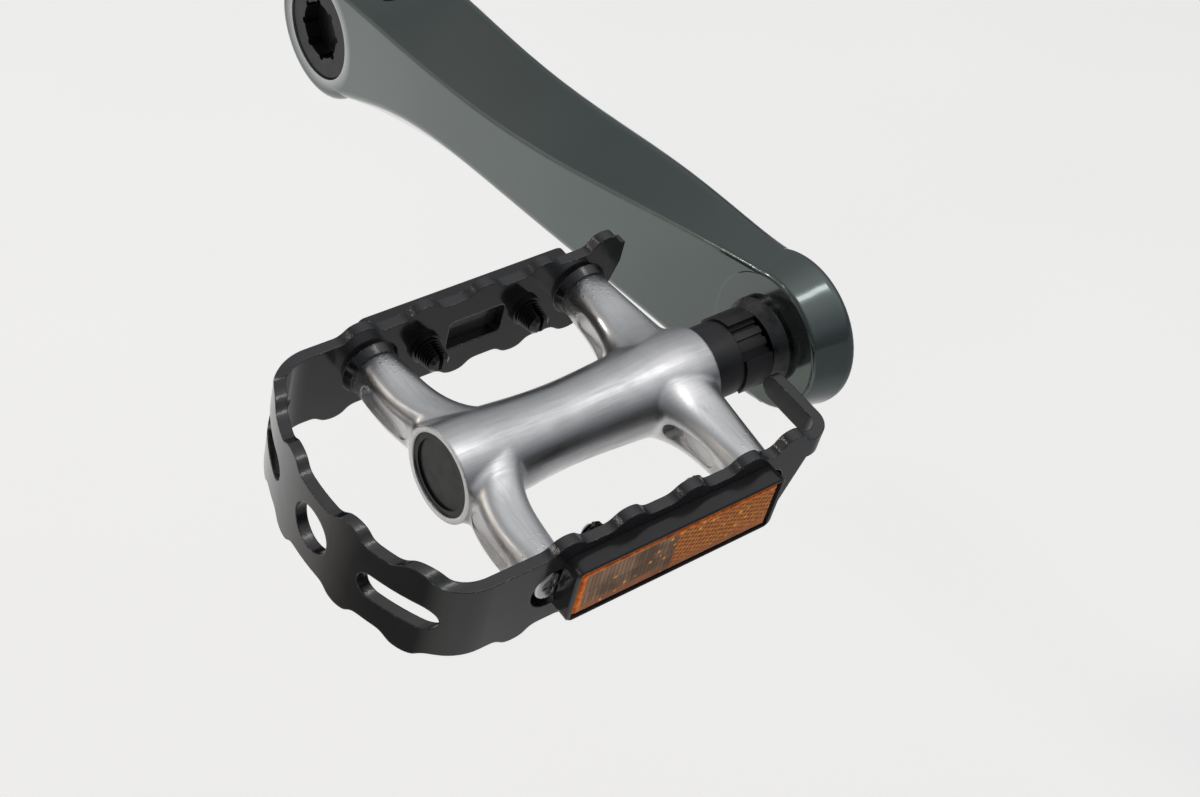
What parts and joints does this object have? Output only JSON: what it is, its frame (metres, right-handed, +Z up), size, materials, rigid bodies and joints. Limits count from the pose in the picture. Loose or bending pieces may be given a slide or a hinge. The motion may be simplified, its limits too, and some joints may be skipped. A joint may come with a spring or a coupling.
{
  "type": "left bicycle crank arm with platform pedal",
  "caption": "Forged left crank arm with a spinning metal platform pedal: toothed wrap-around cage, end loop and side reflectors.",
  "frame": {"origin": "on the spindle bore's axis, at the outer end of the bore's wall", "axes": "+X along the arm from the spindle axis to the pedal axis, +Y along the spindle bore's axis inward to the bicycle's frame, +Z up with the arm level and pointing to the rear"},
  "size_m": [0.2219, 0.1298, 0.0385],
  "materials": {
    "crank_grey": "glossy dark grey anodised aluminium",
    "cage_black": "gloss black coating",
    "body_alloy": "polished cast aluminium",
    "black_plastic": "moulded black plastic",
    "amber_lens": "prismatic amber reflector plastic",
    "steel": "zinc-plated steel"
  },
  "bodies": {
    "crank": {"crank_arm": "crank_grey", "preload_cap": "black_plastic", "stopper_plate": "black_plastic", "pinch_bolt_1": "steel", "pinch_bolt_2": "steel", "pedal_axle": "steel"},
    "pedal": {"bearing_sleeve": "black_plastic", "pedal_body": "body_alloy", "dust_cap": "black_plastic", "cage": "cage_black", "reflector_housing_front": "black_plastic", "reflector_housing_rear": "black_plastic", "reflector_lens_front": "amber_lens", "reflector_lens_rear": "amber_lens", "reflector_stud_front_inner": "black_plastic", "reflector_stud_front_outer": "black_plastic", "reflector_stud_rear_inner": "black_plastic", "reflector_stud_rear_outer": "black_plastic", "cage_screw_front_inner": "steel", "cage_screw_front_outer": "steel", "cage_screw_rear_inner": "steel", "cage_screw_rear_outer": "steel"}
  },
  "joints": [
    {"name": "pedal_spin", "type": "hinge", "parent": "crank", "child": "pedal", "pos_m": [0.17, 0, 0], "axis": [0, 1, 0], "continuous": true}
  ]
}
